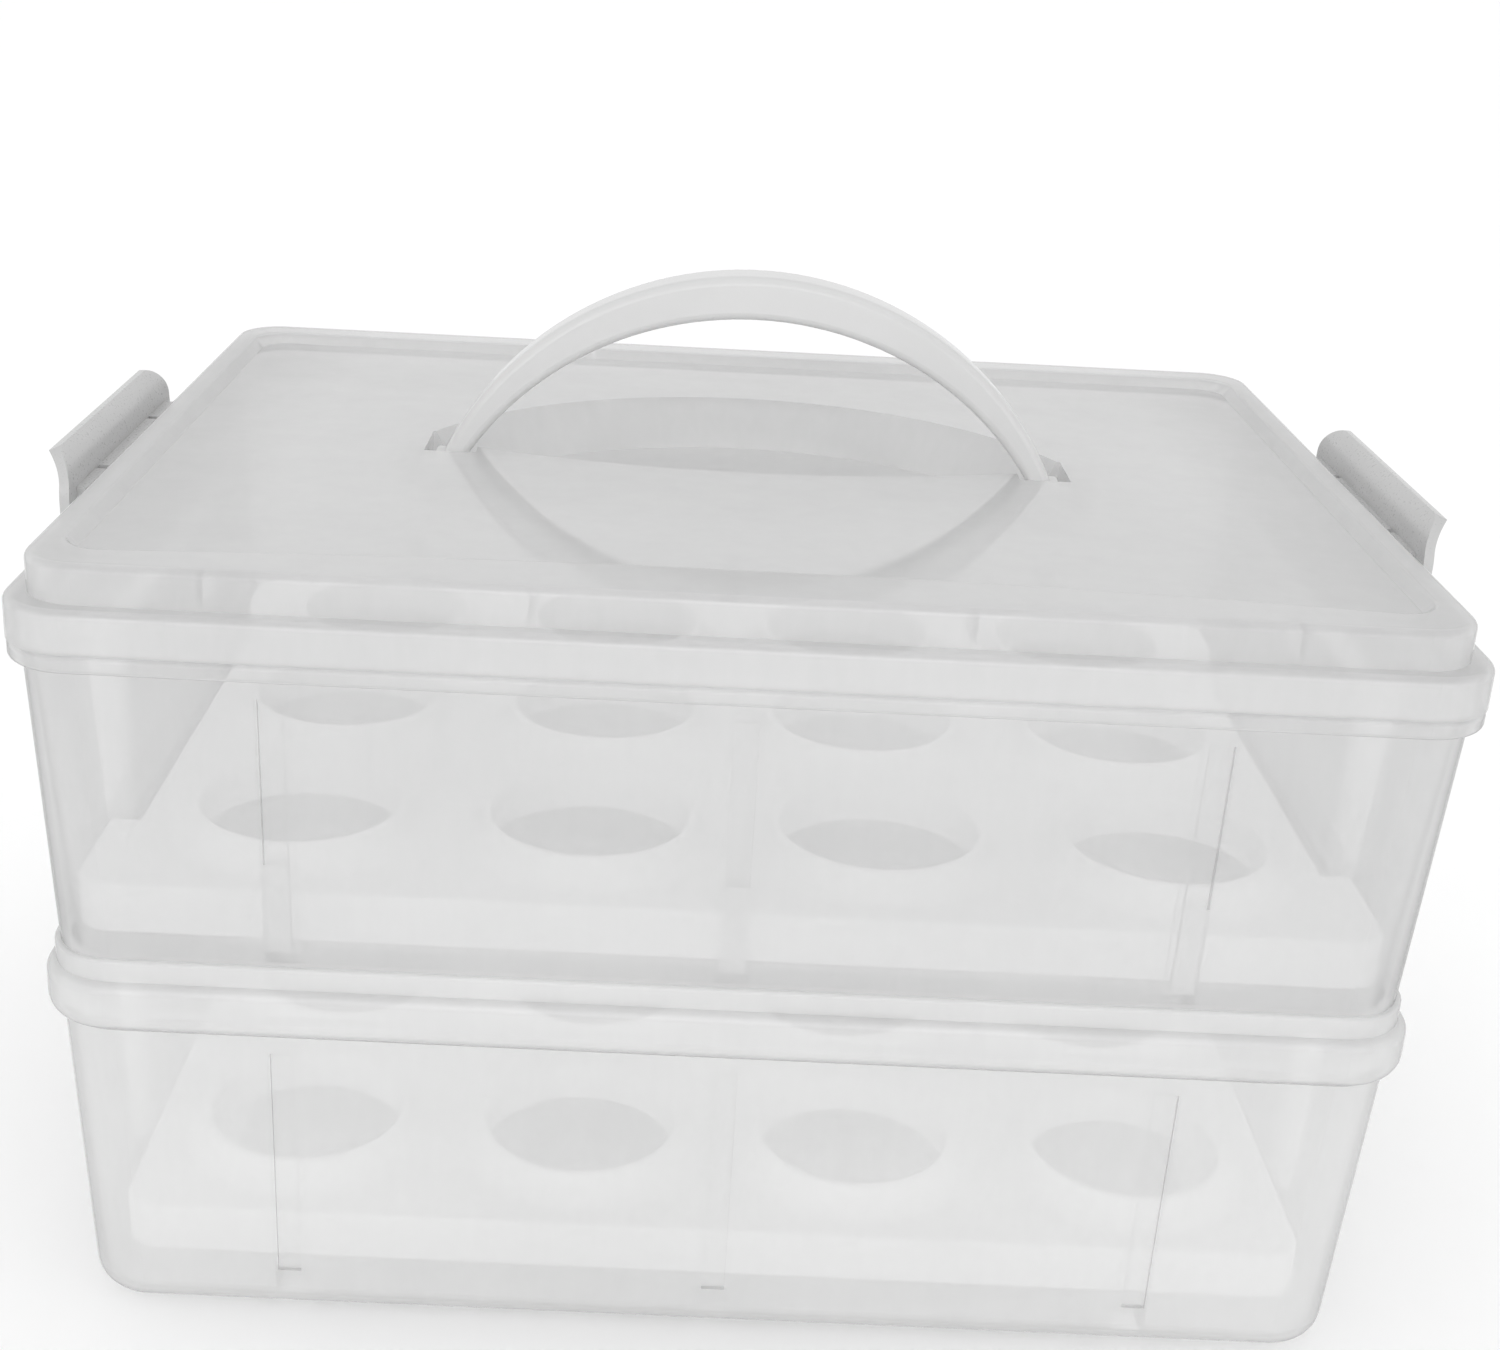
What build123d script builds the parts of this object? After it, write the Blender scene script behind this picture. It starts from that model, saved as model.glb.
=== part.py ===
from build123d import *

import math
import os

# A two-tier carrier with a lid, a folding handle, two side latches and two trays with wells.
# Millimetres. +Z up, X across the front, Y from front to back. The origin is on the surface
# that the carrier stands on, under its middle.

# ---- Driving dimensions -------------------------------------------------------------------

WALL = 1.8                # thickness of every moulded wall
FIT = 0.4                 # gap round a part that lifts out of or off another
LESS_DEEP = 39.5          # every outline's half depth is this much less than its half width
CORNER_R = 16.0           # corner radius of the tubs' walls, seen from above

# Heights above the surface
LOWER_RIM_Z = 86.0        # where the lower tub's rim begins
LOWER_BULGE_Z = 100.5     # where the rim's bulge ends and its lip begins
LOWER_TOP_Z = 106.0       # top of the lower rim, where the upper tub rests
UPPER_BASE_Z = 96.5
UPPER_RIM_Z = 182.9       # where the upper tub's flange begins
FLANGE_TOP_Z = 187.2
SKIRT_BOTTOM_Z = 187.7
SHELF_Z = 198.3           # top of the lid's skirt
LID_TOP_Z = 208.0

# Half widths, across X
LOWER_FOOT, LOWER_WALL_TOP = 165.0, 168.6
LOWER_BULGE, LOWER_LIP = 172.0, 169.9
UPPER_FOOT, UPPER_WALL_LOW, UPPER_WALL_TOP = 166.4, 168.6, 172.0
UPPER_FLANGE, UPPER_UPSTAND = 174.8, 172.6
SKIRT, BLOCK = 175.0, 170.0
LOWER_GRIP, UPPER_GRIP = 159.8, 161.3     # outer face of the sunk panel in each tub's ends

# Tubs
LOWER_EDGE_R, UPPER_EDGE_R = 9.0, 7.0     # round of the bottom edge
FOOT_INSET, FOOT_RISE = 24.0, 6.0         # the floor is raised inside a ring that it stands on
GRIP_HALF_Y = 76.0
GRIP_LOW, GRIP_HIGH = 22.0, 79.0          # above the tub's base
GRIP_R = 5.0
FLUTE_X = (-111.0, 0.0, 111.0)            # upright flutes in the front and back walls
FLUTE_WIDTH, FLUTE_DEPTH = 6.0, 1.2
FLUTE_LOW, FLUTE_HIGH = 14.0, 5.0         # where the flutes end, from the base and from the rim
LOWER_REST, UPPER_REST = 13.0, 11.0       # tops of the six blocks that carry each tray
REST_UNDER = 5.0                          # how far they reach in under its edge

# Trays
TRAY_HALF = 157.0
UPPER_TRAY_ENDS = 164.8                   # the upper tray is wider beyond the sunk grips
TRAY_CORNER_R = 9.0
TRAY_HEIGHT = 13.0
TRAY_EDGE_R = 1.0
NOTCH_GAP = 3.4                           # between the wider ends and the grips, along Y
WELL_PITCH = 76.5
WELL_COLUMNS, WELL_ROWS = 4, 3
WELL_R = 26.6
COLLAR_HEIGHT = 7.0
COLLAR_DROP = 4.0
COLLAR_FOOT = 6.0                         # how far the collar's foot spreads over the deck
COLLAR_SLOPE_R = 9.0

# Lid
BLOCK_R, SKIRT_R = 14.0, 17.0
PANEL_DEPTH = 3.0
FRAME_SIDE, FRAME_FRONT = 9.5, 14.0       # width of the raised frame round the sunk panel
PANEL_BOW = 9.0                           # the panel's front edge curves back by this much
PANEL_R = 8.0
PANEL_SLOPE = 40.0                        # of its edge, from upright, in degrees
PANEL_LIP_R = 1.0
GUSSET_X = (-127.0, -51.0, 51.0, 127.0)
GUSSET_WIDTH = 1.4

# Handle and its recess
PIVOT_Z = LID_TOP_Z - PANEL_DEPTH - 6.5
RECESS_DEPTH = 14.5
RECESS_DRAFT = 25.0                       # of its sides, from upright, in degrees
RECESS_TIP = (94.0, 5.0)
RECESS_BACK_Y, RECESS_FRONT_Y = 71.0, -15.0
POCKET_X = (77.0, 91.5)
POCKET_Y = (-8.0, 13.0)
HANDLE_TOP_Z = 258.0
HANDLE_OUTER_X, HANDLE_INNER_X = 88.7, 82.5   # half spans at the pivot's height
HANDLE_THICK = 12.0                       # at the middle of the grip
HANDLE_HALF_Y, HANDLE_END_HALF_Y = 7.0, 5.0
HUB_R = 5.6
HUB_END_X = 89.0
GRIP_EDGE_R = 2.2
GROOVE_ROOF, GROOVE_SIDE = 3.2, 1.6       # what the hollow underneath leaves of the grip
GROOVE_END_X, GROOVE_LOW = 14.0, 12.0     # how far in and up from the pivots it starts
PIN_R, PIN_GAP = 3.0, 0.05
PIN_END_X = 96.5
BOSS_R = 5.5

# Latches
HINGE_X, HINGE_Z = 179.5, 183.5
LATCH_HALF_Y = 54.0
LATCH_IN_X, LATCH_OUT_X = 178.4, 181.0
LATCH_LIP_X, LATCH_LIP_Z = 185.3, 211.3
LATCH_CURVE = 8.5                         # height of the part that curves outwards
LATCH_CORNER_R = 12.0
HOOK_HALF_Y, HOOK_TIP_X = 25.5, 173.4
HOOK_THICK = 2.4
WING_Y, WING_TIP_X = (28.5, 47.0), 175.7
WING_Z = (190.5, 201.0)
BARREL_R, HINGE_PIN_R = 2.6, 1.5
LUG_Y, LUG_HALF, LUG_R = 40.0, 3.0, 3.0
LUG_SIDE_GAP = 0.6


# ---- Shared shapes ------------------------------------------------------------------------

def outline(half_x, radius, z):
    """A rounded rectangle at height z, less deep than it is wide by the carrier's constant."""
    return Pos(0, 0, z) * RectangleRounded(2 * half_x, 2 * (half_x - LESS_DEEP), radius)


def column(half_x, radius, z_low, z_high):
    """A straight-sided prism on that outline."""
    return extrude(outline(half_x, radius, z_low), amount=z_high - z_low)


def taper(half_low, half_high, radius, z_low, z_high):
    """A prism whose four sides lean evenly from one outline to another."""
    return loft([outline(half_low, radius, z_low), outline(half_high, radius, z_high)], ruled=True)


def block(x, y, z):
    """A box between two corners, each argument a (low, high) pair."""
    size = [high - low for low, high in (x, y, z)]
    middle = [(high + low) / 2 for low, high in (x, y, z)]
    return Pos(*middle) * Box(*size)


def edges_at(shape, z):
    """The edges that lie level at height z."""
    return shape.edges().filter_by_position(Axis.Z, z - 0.01, z + 0.01)


def cylinder_x(radius, x_low, x_high, z):
    """A round bar along X."""
    return Pos((x_low + x_high) / 2, 0, z) * Rot(0, 90, 0) * Cylinder(radius, x_high - x_low)


def cylinder_y(radius, x, y_low, y_high, z):
    """A round bar along Y."""
    return Pos(x, (y_low + y_high) / 2, z) * Rot(90, 0, 0) * Cylinder(radius, y_high - y_low)


# ---- Tubs ---------------------------------------------------------------------------------

def grips(face_x, base, grow):
    """The sunk panels in a tub's two ends, where the fingers go under the rim. grow is how much
    larger than the outside they are taken, which is the wall's thickness for the inside."""
    low, high = base + GRIP_LOW - grow, base + GRIP_HIGH + grow
    reach = GRIP_HALF_Y + grow
    panel = block((face_x - grow, face_x + 40), (-reach, reach), (low, high))
    inner = panel.faces().sort_by(Axis.X)[0]
    panel = fillet(inner.edges(), GRIP_R)
    return panel + panel.mirror(Plane.YZ)


def foot_hollow(half_x, base, rise):
    """The hollow under a tub's raised floor."""
    hollow = taper(half_x, half_x - 2, CORNER_R, base, base + rise)
    return fillet(edges_at(hollow, base + rise), 1.5)


def tub_inside(half_low, half_high, edge_r, base, top, grip_x):
    """What is empty inside a tub: up to its rim, less the sunk grips and the raised floor."""
    space = taper(half_low - WALL, half_high - WALL, CORNER_R - WALL, base + WALL, top)
    space = fillet(edges_at(space, base + WALL), edge_r - WALL)
    floor = foot_hollow(half_low - FOOT_INSET + WALL, base + WALL, FOOT_RISE)
    return space - grips(grip_x, base, WALL) - floor


def strips(width, top):
    """Upright slabs that cross the tub from front to back where its flutes are."""
    return [block((x - width / 2, x + width / 2), (-200, 200), (-1, top)) for x in FLUTE_X]


def flute_grooves(half_low, half_high, base, top):
    """What the flutes take out of the front and back walls' outer faces."""
    outer = taper(half_low + 1, half_high + 1, CORNER_R, base, top)
    groove_floor = taper(half_low - FLUTE_DEPTH, half_high - FLUTE_DEPTH, CORNER_R, base, top)
    skin = outer - groove_floor
    clear = block((-400, 400), (-400, 400), (base + FLUTE_LOW, top - FLUTE_HIGH))
    return Part() + [skin & clear & strip for strip in strips(FLUTE_WIDTH, top)]


def flutes_and_rests(half_low, half_high, base, top, rest, outside):
    """The flutes' inner faces, and the blocks under them that carry the tray."""
    inner = taper(half_low - WALL, half_high - WALL, CORNER_R - WALL, base, top)
    flute_face = taper(half_low - WALL - FLUTE_DEPTH, half_high - WALL - FLUTE_DEPTH,
                       CORNER_R - WALL, base, top)
    rests = column(half_low, CORNER_R, base, base + rest)
    rests -= column(TRAY_HALF - REST_UNDER, CORNER_R, base, base + rest)
    lining = (inner - flute_face) + rests
    width = FLUTE_WIDTH + 2 * FLUTE_DEPTH
    return Part() + [lining & outside & strip for strip in strips(width, top - FLUTE_HIGH + WALL)]


def lower_tier():
    """The tub that everything stands in. Its rim bulges out below an upright lip."""
    outside = taper(LOWER_FOOT, LOWER_WALL_TOP, CORNER_R, 0, LOWER_RIM_Z)
    outside = fillet(edges_at(outside, 0), LOWER_EDGE_R)
    lining = flutes_and_rests(LOWER_FOOT, LOWER_WALL_TOP, 0, LOWER_RIM_Z, LOWER_REST, outside)
    outside -= flute_grooves(LOWER_FOOT, LOWER_WALL_TOP, 0, LOWER_RIM_Z)
    outside -= grips(LOWER_GRIP, 0, 0)
    outside -= foot_hollow(LOWER_FOOT - FOOT_INSET, 0, FOOT_RISE)

    bulge = column(LOWER_BULGE, CORNER_R + 2, LOWER_RIM_Z, LOWER_BULGE_Z)
    bulge = fillet(edges_at(bulge, LOWER_RIM_Z), 5.5)
    bulge = fillet(edges_at(bulge, LOWER_BULGE_Z), 3.0)
    lip = column(LOWER_LIP, CORNER_R + 1, LOWER_BULGE_Z - 5, LOWER_TOP_Z)
    lip = fillet(edges_at(lip, LOWER_TOP_Z), 0.8)
    hollow = column(LOWER_BULGE - WALL, CORNER_R + 1, LOWER_RIM_Z + 5, LOWER_BULGE_Z - WALL)

    mouth = column(UPPER_FOOT + FIT, CORNER_R, LOWER_RIM_Z - 0.01, LOWER_TOP_Z + 1)
    inside = tub_inside(LOWER_FOOT, LOWER_WALL_TOP, LOWER_EDGE_R, 0, LOWER_RIM_Z, LOWER_GRIP)
    return outside + bulge + lip - hollow - mouth - inside + lining


def latch_lugs(side):
    """The two ears on one end of the upper tub that a latch's pin turns in."""
    ears = Part()
    for y in (-LUG_Y, LUG_Y):
        low, high = y - LUG_HALF, y + LUG_HALF
        ears += cylinder_y(LUG_R, HINGE_X, low, high, HINGE_Z)
        ears += block((UPPER_FLANGE - 2.5, HINGE_X), (low, high), (HINGE_Z - 0.5, HINGE_Z + LUG_R))
        ears -= cylinder_y(HINGE_PIN_R + PIN_GAP, HINGE_X, low - 1, high + 1, HINGE_Z)
    return ears if side > 0 else ears.mirror(Plane.YZ)


def upper_tier():
    """The tub that stands in the lower one's rim, on a step, and carries the lid and latches."""
    top = SHELF_Z - WALL
    foot = column(UPPER_FOOT, CORNER_R, UPPER_BASE_Z, LOWER_TOP_Z)
    foot = fillet(edges_at(foot, UPPER_BASE_Z), UPPER_EDGE_R)
    outside = foot + taper(UPPER_WALL_LOW, UPPER_WALL_TOP, CORNER_R, LOWER_TOP_Z, UPPER_RIM_Z)
    lining = flutes_and_rests(UPPER_FOOT, UPPER_WALL_TOP, UPPER_BASE_Z, UPPER_RIM_Z, UPPER_REST, outside)
    outside -= flute_grooves(UPPER_FOOT, UPPER_WALL_TOP, UPPER_BASE_Z, UPPER_RIM_Z)
    outside -= grips(UPPER_GRIP, UPPER_BASE_Z, 0)
    outside -= foot_hollow(UPPER_FOOT - FOOT_INSET, UPPER_BASE_Z, FOOT_RISE)

    flange = column(UPPER_FLANGE, SKIRT_R, UPPER_RIM_Z, FLANGE_TOP_Z)
    flange = fillet(edges_at(flange, UPPER_RIM_Z) + edges_at(flange, FLANGE_TOP_Z), 1.2)
    upstand = column(UPPER_UPSTAND, SKIRT_R - 2, FLANGE_TOP_Z - 1, top)
    upstand = fillet(edges_at(upstand, top), 0.6)

    mouth = column(UPPER_UPSTAND - WALL, CORNER_R - 1, UPPER_RIM_Z - 0.01, top + 1)
    inside = tub_inside(UPPER_FOOT, UPPER_WALL_TOP, UPPER_EDGE_R, UPPER_BASE_Z, UPPER_RIM_Z, UPPER_GRIP)
    return outside + flange + upstand - mouth - inside + lining + latch_lugs(1) + latch_lugs(-1)


# ---- Trays --------------------------------------------------------------------------------

def well_places():
    """The middles of the wells, in a square grid."""
    columns = [(i - (WELL_COLUMNS - 1) / 2) * WELL_PITCH for i in range(WELL_COLUMNS)]
    rows = [(i - (WELL_ROWS - 1) / 2) * WELL_PITCH for i in range(WELL_ROWS)]
    return [(x, y) for y in rows for x in columns]


def collar(deck_z):
    """One well's collar: a tube through the deck, flared where it meets the deck's top."""
    outer = WELL_R + WALL
    tube = Pos(0, 0, deck_z - COLLAR_DROP) * Cylinder(
        outer, COLLAR_DROP + COLLAR_HEIGHT, align=(Align.CENTER, Align.CENTER, Align.MIN))
    tube = fillet(tube.edges().sort_by(Axis.Z)[-1], 0.8)
    foot, rise = outer + COLLAR_FOOT, deck_z + COLLAR_HEIGHT - 1
    flare = Plane.XZ * make_face([
        Line((outer - 0.5, deck_z - 0.5), (foot, deck_z - 0.5)),
        Line((foot, deck_z - 0.5), (foot, deck_z)),
        RadiusArc((foot, deck_z), (outer, rise), COLLAR_SLOPE_R),
        Line((outer, rise), (outer - 0.5, rise)),
        Line((outer - 0.5, rise), (outer - 0.5, deck_z - 0.5)),
    ])
    return tube + revolve(flare, Axis.Z)


def tray_plan(ends_half, inset):
    """A tray's outline drawn in by inset. Its ends may be wider beyond the grips than between."""
    plan = RectangleRounded(2 * (ends_half - inset), 2 * (TRAY_HALF - LESS_DEEP - inset),
                            TRAY_CORNER_R - inset)
    if ends_half > TRAY_HALF:
        notch = Rectangle(40, 2 * (GRIP_HALF_Y + NOTCH_GAP + inset))
        for side in (-1, 1):
            plan -= Pos(side * (TRAY_HALF - inset + 20), 0) * notch
    return plan


def tray(base, ends_half):
    """A tray with a deck, a skirt round it, and collared wells open at both ends."""
    deck_z = base + TRAY_HEIGHT
    shell = extrude(Pos(0, 0, base) * tray_plan(ends_half, 0), amount=TRAY_HEIGHT)
    shell = fillet(edges_at(shell, deck_z), TRAY_EDGE_R)
    shell -= extrude(Pos(0, 0, base) * tray_plan(ends_half, WALL), amount=TRAY_HEIGHT - WALL)
    one = collar(deck_z)
    hole = Pos(0, 0, deck_z) * Cylinder(WELL_R, 40)
    places = well_places()
    shell += [Pos(x, y, 0) * one for x, y in places]
    return shell - [Pos(x, y, 0) * hole for x, y in places]


# ---- Lid ----------------------------------------------------------------------------------

def panel_outline(grow):
    """The sunk panel's edge: straight at the back and ends, curving back along the front."""
    x = BLOCK - FRAME_SIDE + grow
    back = BLOCK - LESS_DEEP - FRAME_FRONT + grow
    front = -back
    shape = make_face([
        Line((x, front), (x, back)),
        Line((x, back), (-x, back)),
        Line((-x, back), (-x, front)),
        ThreePointArc((-x, front), (0, front + PANEL_BOW), (x, front)),
    ])
    return fillet(shape.vertices(), PANEL_R)


def recess(panel_z, grow):
    """The handle's recess, larger all round by grow: where two wide cones overlap, with a square
    pocket at each pivot. It goes on above the panel by a little."""
    floor_z = panel_z - RECESS_DEPTH - grow
    height = panel_z - floor_z + 1
    slope = math.tan(math.radians(RECESS_DRAFT))
    edge = grow / math.cos(math.radians(RECESS_DRAFT))
    tip_x, tip_y = RECESS_TIP
    end_x = POCKET_X[1] + grow
    dish = block((-end_x, end_x), (-200, 200), (floor_z, floor_z + height))
    for rim_y, facing in ((RECESS_BACK_Y, 1), (RECESS_FRONT_Y, -1)):
        rise = facing * (rim_y - tip_y)
        radius = (tip_x ** 2 + rise ** 2) / (2 * rise)
        bottom_r = radius + edge - slope * (height - 1)
        cone = Cone(bottom_r, bottom_r + slope * height, height)
        dish &= Pos(0, rim_y - facing * radius, floor_z + height / 2) * cone
    for side in (-1, 1):
        x = sorted((side * (POCKET_X[0] - grow), side * end_x))
        dish += block(x, (POCKET_Y[0] - grow, POCKET_Y[1] + grow), (floor_z, floor_z + height))
    return dish


def lid():
    """The lid: a block inset on an overlapping skirt, with a sunk panel and handle recess."""
    skirt = column(SKIRT, SKIRT_R, SKIRT_BOTTOM_Z, SHELF_Z)
    skirt = fillet(edges_at(skirt, SHELF_Z), 2.0)
    top = column(BLOCK, BLOCK_R, SHELF_Z - 1, LID_TOP_Z)
    top = fillet(edges_at(top, LID_TOP_Z), 2.0)

    panel_z = LID_TOP_Z - PANEL_DEPTH
    sunk = extrude(Pos(0, 0, panel_z) * panel_outline(0), amount=PANEL_DEPTH + 1, taper=-PANEL_SLOPE)
    backing = extrude(Pos(0, 0, panel_z - WALL) * panel_outline(WALL), amount=PANEL_DEPTH + 1, taper=-PANEL_SLOPE)

    lip = new_edges(top, sunk, combined=top - sunk)
    top = fillet(lip.filter_by_position(Axis.Z, LID_TOP_Z - 0.01, LID_TOP_Z + 0.01), PANEL_LIP_R)

    hollow = column(SKIRT - WALL, SKIRT_R - WALL, SKIRT_BOTTOM_Z - 1, SHELF_Z - WALL)
    hollow += column(BLOCK - WALL, BLOCK_R - WALL, SHELF_Z - WALL - 0.01, LID_TOP_Z - WALL)
    hollow -= backing & column(BLOCK, BLOCK_R, panel_z - WALL, LID_TOP_Z)
    hollow -= gussets(panel_z)
    hollow -= recess(panel_z, WALL)
    for side in (-1, 1):
        hollow -= boss(side)

    body = skirt + top - hollow - recess(panel_z, 0)
    for side in (-1, 1):
        body -= socket(side)
    return body


def gussets(panel_z):
    """Thin ribs across the frame's channel, at the front and back."""
    depth = BLOCK - LESS_DEEP
    low = SHELF_Z + 1
    ribs = Part()
    for x in GUSSET_X:
        for y in ((-depth, -depth + FRAME_FRONT), (depth - FRAME_FRONT, depth)):
            ribs += block((x - GUSSET_WIDTH / 2, x + GUSSET_WIDTH / 2), y, (low, LID_TOP_Z - WALL / 2))
    return ribs


def boss(side):
    """The round boss outside the recess's end wall that a handle pin turns in."""
    bar = cylinder_x(BOSS_R, POCKET_X[1], PIN_END_X + 2, PIVOT_Z)
    return bar if side > 0 else bar.mirror(Plane.YZ)


def socket(side):
    """The blind hole in that boss."""
    hole = cylinder_x(PIN_R + PIN_GAP, POCKET_X[1] - 1, PIN_END_X + 1, PIVOT_Z)
    return hole if side > 0 else hole.mirror(Plane.YZ)


# ---- Handle -------------------------------------------------------------------------------

def crescent(top_z, half_span, y_half):
    """What lies under an arc that spans the pivots, as a slab this thick each way in Y."""
    face = make_face([
        ThreePointArc((-half_span, PIVOT_Z), (0, top_z), (half_span, PIVOT_Z)),
        Line((half_span, PIVOT_Z), (-half_span, PIVOT_Z)),
    ])
    return extrude(Plane.XZ * face, amount=y_half, both=True)


def handle():
    """A crescent grip, hollow underneath, on two round ends with a pin moulded on each."""
    inner_top = HANDLE_TOP_Z - HANDLE_THICK
    grip = crescent(HANDLE_TOP_Z, HANDLE_OUTER_X, HANDLE_HALF_Y)
    grip -= crescent(inner_top, HANDLE_INNER_X, HANDLE_HALF_Y + 1)
    x, y = HANDLE_OUTER_X + 5, HANDLE_END_HALF_Y
    plan = make_face([
        ThreePointArc((-x, y), (0, HANDLE_HALF_Y), (x, y)),
        Line((x, y), (x, -y)),
        ThreePointArc((x, -y), (0, -HANDLE_HALF_Y), (-x, -y)),
        Line((-x, -y), (-x, y)),
    ])
    grip &= extrude(Pos(0, 0, PIVOT_Z) * plan, amount=100)
    grip = fillet(grip.edges().filter_by(GeomType.BSPLINE), GRIP_EDGE_R)
    half_x = HANDLE_OUTER_X - GROOVE_END_X
    groove = crescent(HANDLE_TOP_Z - GROOVE_ROOF, half_x, HANDLE_END_HALF_Y - GROOVE_SIDE)
    grip -= groove & block((-half_x, half_x), (-y, y), (PIVOT_Z + GROOVE_LOW, HANDLE_TOP_Z))
    for side in (-1, 1):
        hub = cylinder_x(HUB_R, HANDLE_INNER_X, HUB_END_X, PIVOT_Z)
        hub = fillet(hub.edges().sort_by(Axis.X)[-1], 1.0)
        pin = cylinder_x(PIN_R, HUB_END_X - 1, PIN_END_X, PIVOT_Z)
        end = hub + pin
        grip += end if side > 0 else end.mirror(Plane.YZ)
    return grip


# ---- Latches ------------------------------------------------------------------------------

def latch_plate():
    """The right latch's plate: upright, curving outwards at its top, with rounded upper corners."""
    curve_z = LATCH_LIP_Z - LATCH_CURVE
    profile = make_face([
        Line((LATCH_IN_X, HINGE_Z), (LATCH_OUT_X, HINGE_Z)),
        Line((LATCH_OUT_X, HINGE_Z), (LATCH_OUT_X, curve_z)),
        TangentArc((LATCH_OUT_X, curve_z), (LATCH_LIP_X, LATCH_LIP_Z - 0.8), tangent=(0, 1)),
        Line((LATCH_LIP_X, LATCH_LIP_Z - 0.8), (LATCH_LIP_X - 2.4, LATCH_LIP_Z)),
        ThreePointArc((LATCH_LIP_X - 2.4, LATCH_LIP_Z), (LATCH_IN_X + 1.05, curve_z + 4.4),
                      (LATCH_IN_X, curve_z)),
        Line((LATCH_IN_X, curve_z), (LATCH_IN_X, HINGE_Z)),
    ])
    plate = extrude(Plane.XZ * profile, amount=LATCH_HALF_Y, both=True)
    height = LATCH_LIP_Z - HINGE_Z + 2 * LATCH_CORNER_R
    frame = RectangleRounded(2 * LATCH_HALF_Y, height, LATCH_CORNER_R)
    return plate & extrude(Plane.YZ * Pos(0, LATCH_LIP_Z - height / 2) * frame, amount=220)


def latch(side):
    """A latch: a plate, a hook over the lid's shelf, a wing each side of the hook that fills the
    gap to the lid, and a barrel with its pin moulded in. Open slots beside the hook let it flex."""
    hook_z = (SHELF_Z + FIT, SHELF_Z + FIT + HOOK_THICK)
    body = latch_plate() + block((HOOK_TIP_X, LATCH_OUT_X - 1), (-HOOK_HALF_Y, HOOK_HALF_Y), hook_z)
    for low, high in (WING_Y, (-WING_Y[1], -WING_Y[0])):
        body += block((WING_TIP_X, LATCH_OUT_X - 1), (low, high), WING_Z)

    body += cylinder_y(BARREL_R, HINGE_X, -LATCH_HALF_Y + 2, LATCH_HALF_Y - 2, HINGE_Z)
    gap = LUG_HALF + LUG_SIDE_GAP
    for y in (-LUG_Y, LUG_Y):
        body -= block((HINGE_X - 8, HINGE_X + 8), (y - gap, y + gap), (HINGE_Z - 8, HINGE_Z + LUG_R + 2))
    body += cylinder_y(HINGE_PIN_R, HINGE_X, -LATCH_HALF_Y + 3, LATCH_HALF_Y - 3, HINGE_Z)
    return body if side > 0 else body.mirror(Plane.YZ)


# ---- Files --------------------------------------------------------------------------------

def main():
    os.makedirs("parts", exist_ok=True)
    pieces = {
        "lower_tier": lower_tier(),
        "upper_tier": upper_tier(),
        "lower_tray": tray(LOWER_REST, TRAY_HALF),
        "upper_tray": tray(UPPER_BASE_Z + UPPER_REST, UPPER_TRAY_ENDS),
        "lid": lid(),
        "handle": handle(),
        "latch_left": latch(-1),
        "latch_right": latch(1),
    }
    for name, shape in pieces.items():
        export_step(shape, f"parts/{name}.step")


main()
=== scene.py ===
import math

import bpy
from mathutils import Matrix, Vector

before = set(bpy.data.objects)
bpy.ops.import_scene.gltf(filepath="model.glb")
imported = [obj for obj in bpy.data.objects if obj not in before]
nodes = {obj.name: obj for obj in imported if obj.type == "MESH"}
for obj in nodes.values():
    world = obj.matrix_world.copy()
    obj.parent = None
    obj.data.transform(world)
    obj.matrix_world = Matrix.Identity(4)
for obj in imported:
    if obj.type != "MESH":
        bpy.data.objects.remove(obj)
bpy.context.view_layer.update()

scene = bpy.context.scene
MM = 0.001

# The camera's place, lens and sensor in millimetres, its clip distances in metres, and its
# angles in degrees: pitch is down, yaw is towards +X, and roll lifts its right side.
CAMERA_PLACE = (-15.8, -585.3, 365.7)
CAMERA_PITCH, CAMERA_YAW, CAMERA_ROLL = 21.2, 0.8, 3.07
CAMERA_LENS, SENSOR_WIDTH = 50.68, 36
CAMERA_SHIFT_X, CAMERA_SHIFT_Y = 0.0269, -0.0012
CLIP_START, CLIP_END = 0.01, 50

# Plastics. A level is a grey from 0 to 1, and a pattern's scale is in cycles per metre.
CLEAR_IOR, WHITE_IOR, FLOOR_IOR = 1.5, 1.48, 1.49
CLOUD = 0.015                         # how far a plastic's grey varies either way
FLOW = 0.03                           # how far a clear plastic's alpha varies either way
NOISE_LOW, NOISE_HIGH = 0.3, 0.7      # the range that most of a noise pattern lies in
CLEAR_CLOUDS, WHITE_CLOUDS = 9, 14    # scales of the cloudiness
STREAKS, UNEVEN_GLOSS = 38, 160       # scales of a clear plastic's alpha and roughness patterns
CLEAR_GLOSS = (0.8, 1.25)             # how far the roughness varies, as shares of it
WHITE_GLOSS = (0.85, 1.2)
WAVES = 26                            # scale of a clear surface's slight waves
WAVE_HEIGHT, WAVE_STRENGTH = 0.00025, 0.25      # heights are in metres
GRAIN_HEIGHT, GRAIN_STRENGTH = 0.00008, 0.18    # of a white surface's moulded grain
TURNED = 0.35                         # how soon a face counts as turned away
EDGE_FROM, EDGE_FULL = 0.42, 0.78     # how far a face is turned away where the edge grey comes in
SIDE_SHADE_FROM, SIDE_SHADE_FULL = 0.125, 0.155   # metres from the middle, between which the edge grey comes in too, as painted shade on the sides
MIDDLE_SIDE_SHADE = 0.2                     # share of the edge grey, and so of the painted shade, nearer to the middle
PASSING_SHARE = 0.12                  # of a clear plastic's density, for light on its way through
TRAY_DIMMING = 0.3                    # the share of such light that a tray's surface holds back

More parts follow.
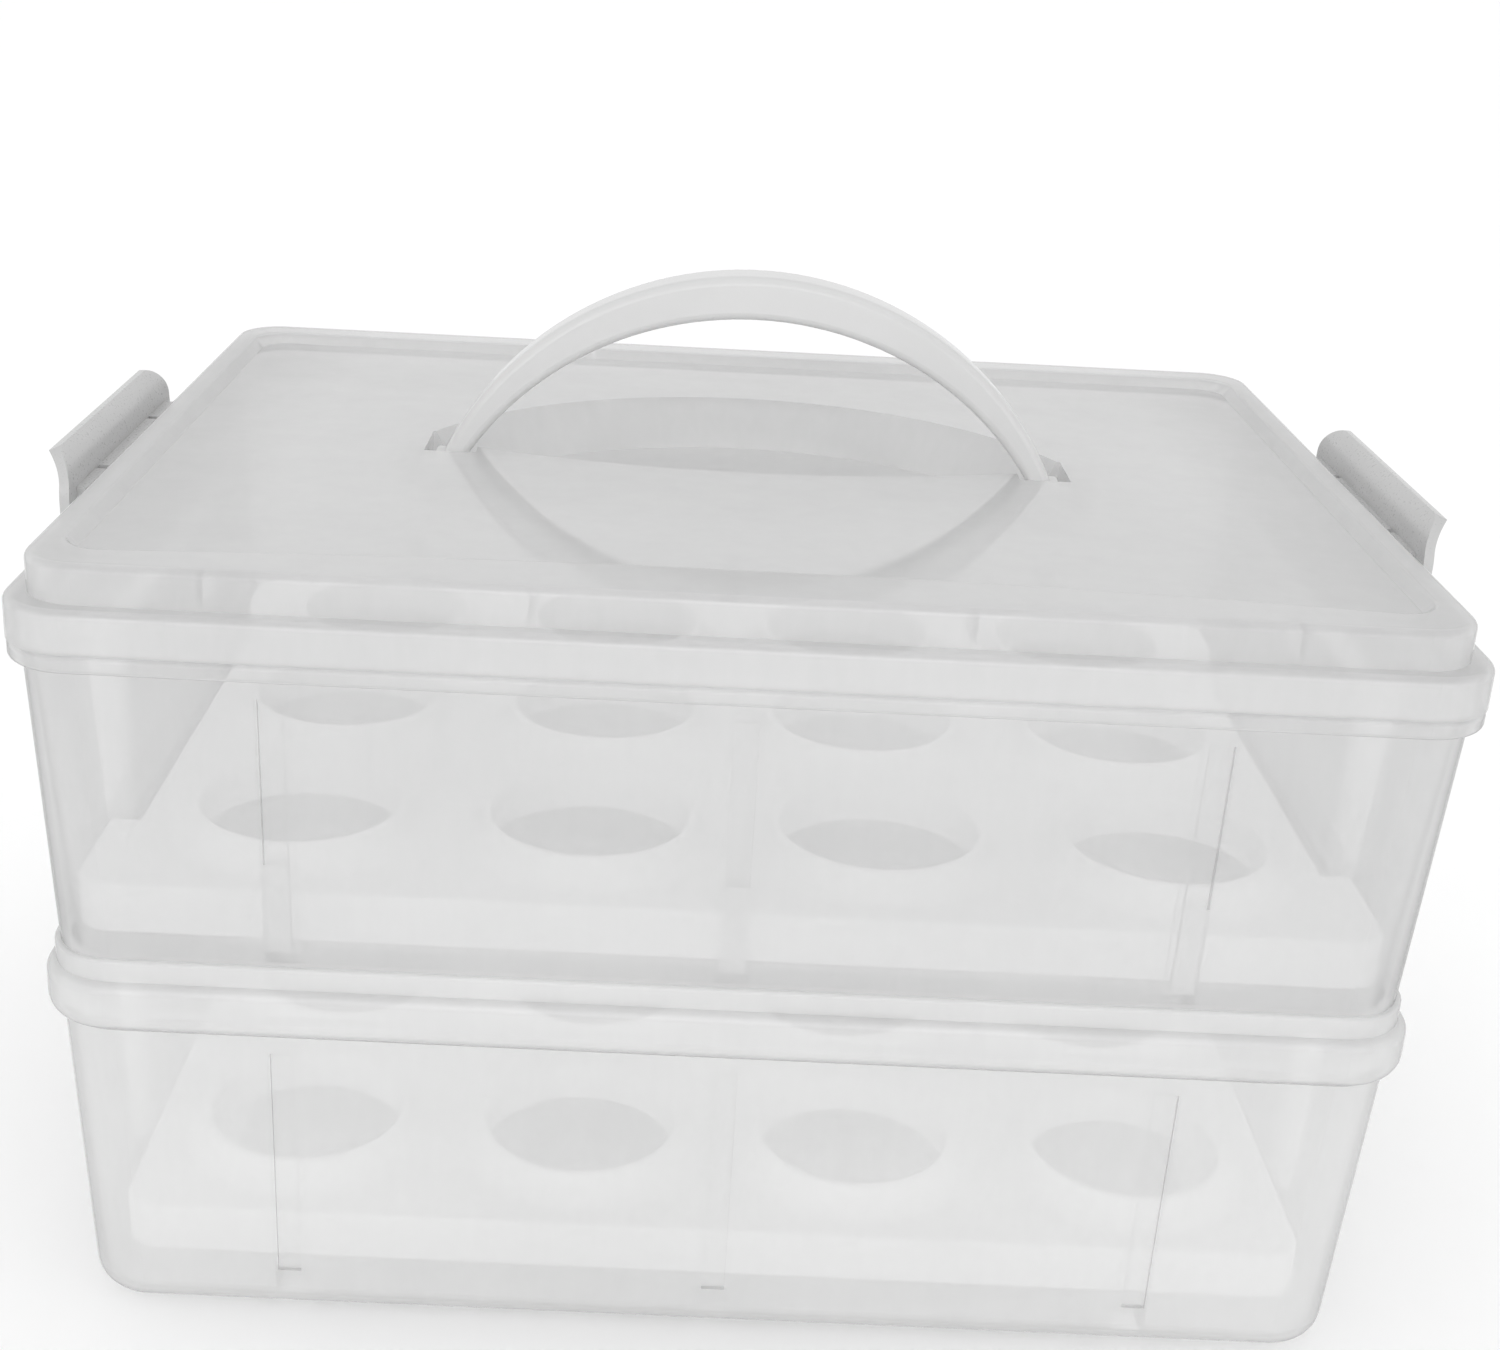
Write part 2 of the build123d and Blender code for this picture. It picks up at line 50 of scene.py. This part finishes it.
FLOOR_SIZE = 30
FLOOR_LEVEL, FLOOR_ROUGHNESS = 0.95, 0.7
FLOOR_CLOUDS = 1.5                    # scale of the floor's cloudiness
FLOOR_CLOUD = 0.005                   # how far its grey varies either way
WORLD_STRENGTH = 1.06

# A Mix node's sockets for colours: those for other values have the same names.
MIX_FIRST, MIX_SECOND, MIX_RESULT = 6, 7, 2


# ---- Camera -------------------------------------------------------------------------------

def add_camera():
    """The photograph's viewpoint: in front, a little left of the middle, looking down."""
    pitch, yaw = math.radians(CAMERA_PITCH), math.radians(CAMERA_YAW)
    roll = math.radians(CAMERA_ROLL)
    forward = Vector((
        math.sin(yaw) * math.cos(pitch),
        math.cos(yaw) * math.cos(pitch),
        -math.sin(pitch),
    ))
    level = forward.cross(Vector((0, 0, 1))).normalized()
    upright = level.cross(forward)
    right = level * math.cos(roll) + upright * math.sin(roll)
    up = right.cross(forward)
    data = bpy.data.cameras.new("camera")
    data.sensor_width = SENSOR_WIDTH
    data.lens = CAMERA_LENS
    data.shift_x = CAMERA_SHIFT_X
    data.shift_y = CAMERA_SHIFT_Y
    data.clip_start = CLIP_START
    data.clip_end = CLIP_END
    camera = bpy.data.objects.new("camera", data)
    scene.collection.objects.link(camera)
    turn = Matrix((right, up, -forward)).transposed().to_4x4()
    camera.matrix_world = Matrix.Translation(Vector(CAMERA_PLACE) * MM) @ turn
    scene.camera = camera


# ---- Materials ----------------------------------------------------------------------------

def grey(level):
    """This grey as a colour with its alpha."""
    return (level, level, level, 1)


class Shader:
    """A grey Principled material with helpers for its nodes."""

    def __init__(self, name, level, roughness, ior, alpha=1.0):
        self.material = bpy.data.materials.new(name)
        self.material.use_nodes = True
        self.tree = self.material.node_tree
        self.bsdf = self.tree.nodes["Principled BSDF"]
        self.bsdf.inputs["Base Color"].default_value = grey(level)
        self.bsdf.inputs["Roughness"].default_value = roughness
        self.bsdf.inputs["IOR"].default_value = ior
        self.bsdf.inputs["Alpha"].default_value = alpha

    def node(self, kind, **values):
        """A new node with these inputs (by name) or settings set."""
        made = self.tree.nodes.new(kind)
        for key, value in values.items():
            if key in made.inputs:
                made.inputs[key].default_value = value
            else:
                setattr(made, key, value)
        return made

    def link(self, out, into):
        self.tree.links.new(out, into)

    def drive(self, name, out):
        """One of the material's own inputs, such as its roughness, taken from a node's output."""
        self.link(out, self.bsdf.inputs[name])

    def noise(self, scale, detail, stretch=(1, 1, 1), rough=0.5):
        """A noise pattern over the object, finer along an axis where stretch is larger."""
        where = self.node("ShaderNodeTexCoord")
        mapping = self.node("ShaderNodeMapping", Scale=stretch)
        noise = self.node("ShaderNodeTexNoise", Scale=scale, Detail=detail, Roughness=rough)
        self.link(where.outputs["Object"], mapping.inputs["Vector"])
        self.link(mapping.outputs["Vector"], noise.inputs["Vector"])
        return noise.outputs["Fac"]

    def span(self, source, low, high, from_low=NOISE_LOW, from_high=NOISE_HIGH):
        """A value taken from its own range to low..high, and no further."""
        ranged = self.node("ShaderNodeMapRange")
        ranged.inputs["From Min"].default_value = from_low
        ranged.inputs["From Max"].default_value = from_high
        ranged.inputs["To Min"].default_value = low
        ranged.inputs["To Max"].default_value = high
        self.link(source, ranged.inputs["Value"])
        return ranged.outputs["Result"]

    def combined(self, operation, first, second):
        """Two values added or multiplied together."""
        node = self.node("ShaderNodeMath", operation=operation)
        self.link(first, node.inputs[0])
        self.link(second, node.inputs[1])
        return node.outputs[0]

    def cloudy(self, pattern, level, either_way):
        """A grey that varies either way with a pattern."""
        mix = self.node("ShaderNodeMix", data_type="RGBA")
        mix.inputs[MIX_FIRST].default_value = grey(level - either_way)
        mix.inputs[MIX_SECOND].default_value = grey(level + either_way)
        self.link(self.span(pattern, 0, 1), mix.inputs["Factor"])
        return mix.outputs[MIX_RESULT]

    def towards(self, colour, level, factor):
        """Another node's colour, which goes to this grey as the factor goes to 1."""
        mix = self.node("ShaderNodeMix", data_type="RGBA")
        mix.inputs[MIX_SECOND].default_value = grey(level)
        self.link(colour, mix.inputs[MIX_FIRST])
        self.link(factor, mix.inputs["Factor"])
        return mix.outputs[MIX_RESULT]

    def passing(self, share):
        """1 where the surface is seen, and share for light on its way to something behind it."""
        path = self.node("ShaderNodeLightPath")
        either = self.combined("ADD", path.outputs["Is Shadow Ray"], path.outputs["Is Diffuse Ray"])
        return self.span(either, 1.0, share, 0.0, 1.0)

    def painted_side_shade(self):
        """Painted shade on the sides: 1 near the carrier's left and right ends, and the middle
        share between them.
        """
        where = self.node("ShaderNodeTexCoord")
        place = self.node("ShaderNodeSeparateXYZ")
        self.link(where.outputs["Object"], place.inputs["Vector"])
        aside = self.node("ShaderNodeMath", operation="ABSOLUTE")
        self.link(place.outputs["X"], aside.inputs[0])
        return self.span(aside.outputs[0], MIDDLE_SIDE_SHADE, 1.0, SIDE_SHADE_FROM, SIDE_SHADE_FULL)

    def uneven_gloss(self, pattern, roughness, shares):
        """A roughness that varies with a pattern between two shares of itself."""
        least, most = shares
        self.drive("Roughness", self.span(pattern, roughness * least, roughness * most))

    def bump(self, pattern, strength, height):
        """A bump of this height, in metres."""
        bump = self.node("ShaderNodeBump", Strength=strength, Distance=height)
        self.link(pattern, bump.inputs["Height"])
        self.drive("Normal", bump.outputs["Normal"])


def clear_plastic(name, level, edge_and_side_shade_level, alpha, edge_alpha, roughness):
    """Milky clear moulded plastic: glossy, cloudy, and denser where it is seen edge on. Its edge
    grey is also painted shade on the sides, near the left and right ends. Light that only passes
    through it to something else is dimmed less than what is seen through it."""
    shader = Shader(name, level, roughness, CLEAR_IOR, alpha)
    facing = shader.node("ShaderNodeLayerWeight", Blend=TURNED).outputs["Facing"]

    clouds = shader.noise(CLEAR_CLOUDS, detail=2, stretch=(1, 1, 2))
    edge_on = shader.span(facing, 0, 1, EDGE_FROM, EDGE_FULL)
    # Painted shade: the edge grey comes in fully only near the left and right ends, darkening the
    # sides.
    edge_and_side_shade_share = shader.combined("MULTIPLY", edge_on, shader.painted_side_shade())
    colour = shader.towards(shader.cloudy(clouds, level, CLOUD), edge_and_side_shade_level, edge_and_side_shade_share)
    shader.drive("Base Color", colour)

    streaks = shader.noise(STREAKS, detail=4, stretch=(1, 1, 0.3), rough=0.6)
    density = shader.span(facing, alpha, edge_alpha, 0.0, 1.0)
    uneven = shader.combined("ADD", density, shader.span(streaks, -FLOW, FLOW))
    shader.drive("Alpha", shader.combined("MULTIPLY", uneven, shader.passing(PASSING_SHARE)))

    shader.uneven_gloss(shader.noise(UNEVEN_GLOSS, detail=3), roughness, CLEAR_GLOSS)
    shader.bump(shader.noise(WAVES, detail=2), WAVE_STRENGTH, WAVE_HEIGHT)
    return shader.material


def white_plastic(name, level, roughness, grain, dimming=1.0):
    """White moulded plastic with a faint cloudiness and a fine moulded grain. A thin sheet of it
    lets some light through: each surface holds back the share called dimming."""
    shader = Shader(name, level, roughness, WHITE_IOR)
    clouds = shader.noise(WHITE_CLOUDS, detail=3)
    fine = shader.noise(grain, detail=2, rough=0.6)
    shader.drive("Base Color", shader.cloudy(clouds, level, CLOUD))
    shader.uneven_gloss(fine, roughness, WHITE_GLOSS)
    shader.bump(fine, GRAIN_STRENGTH, GRAIN_HEIGHT)
    if dimming < 1:
        shader.drive("Alpha", shader.passing(dimming))
    return shader.material


def dress():
    """Each piece's material."""
    # Painted shade: the latches are white plastic like the handle, but are given a darker grey for
    # the shade they sit in.
    latch = white_plastic("white_latch", level=0.47, roughness=0.30, grain=1200)
    looks = {
        "lid": clear_plastic(
            "clear_lid",
            level=0.565, edge_and_side_shade_level=0.40, alpha=0.44, edge_alpha=0.88, roughness=0.06),
        # The tiers are one moulding: the upper tier's darker greys are painted shade, and the lower
        # tier's lighter grey is painted light.
        "upper_tier": clear_plastic(
            "clear_upper_painted_shade",
            level=0.56, edge_and_side_shade_level=0.20, alpha=0.47, edge_alpha=0.92, roughness=0.10),
        "lower_tier": clear_plastic(
            "clear_lower_painted_light",
            level=0.63, edge_and_side_shade_level=0.42, alpha=0.54, edge_alpha=0.94, roughness=0.12),
        # The trays are one moulding: the upper tray's darker grey is painted shade, and the lower
        # tray's lighter grey is painted light.
        "upper_tray": white_plastic(
            "white_upper_tray_painted_shade", level=0.73, roughness=0.38, grain=900, dimming=TRAY_DIMMING),
        "lower_tray": white_plastic(
            "white_lower_tray_painted_light", level=0.82, roughness=0.38, grain=900, dimming=TRAY_DIMMING),
        "handle": white_plastic("white_handle", level=0.56, roughness=0.20, grain=1200),
        "latch_left": latch,
        "latch_right": latch,
    }
    for name, material in looks.items():
        for entry in nodes[name].material_slots:
            entry.link = "OBJECT"
            entry.material = material


# ---- Stage --------------------------------------------------------------------------------

def add_floor():
    """A wide pale floor."""
    bpy.ops.mesh.primitive_plane_add(size=FLOOR_SIZE, location=(0, 0, 0))
    floor = bpy.context.object
    floor.name = "floor"
    shader = Shader("pale_floor", FLOOR_LEVEL, FLOOR_ROUGHNESS, FLOOR_IOR)
    clouds = shader.noise(FLOOR_CLOUDS, detail=2)
    shader.drive("Base Color", shader.cloudy(clouds, FLOOR_LEVEL, FLOOR_CLOUD))
    floor.data.materials.append(shader.material)


def add_light(name, place, aim, size, power):
    """A soft rectangular lamp, in metres and watts."""
    data = bpy.data.lights.new(name, "AREA")
    data.shape = "RECTANGLE"
    data.size, data.size_y = size
    data.energy = power
    lamp = bpy.data.objects.new(name, data)
    scene.collection.objects.link(lamp)
    lamp.location = place
    lamp.rotation_euler = (Vector(aim) - Vector(place)).to_track_quat("-Z", "Y").to_euler()


def add_lights():
    """A white surround and two lamps in front."""
    world = bpy.data.worlds.new("world")
    world.use_nodes = True
    background = world.node_tree.nodes["Background"]
    background.inputs["Color"].default_value = (1, 1, 1, 1)
    background.inputs["Strength"].default_value = WORLD_STRENGTH
    scene.world = world
    add_light("front", (-0.3, -1.9, 0.55), aim=(0, 0, 0.08), size=(1.6, 0.9), power=7)
    add_light("low_front", (0.5, -1.5, 0.2), aim=(0, 0, 0.05), size=(1.6, 0.35), power=2)
    scene.view_settings.view_transform = "Standard"


add_camera()
dress()
add_floor()
add_lights()
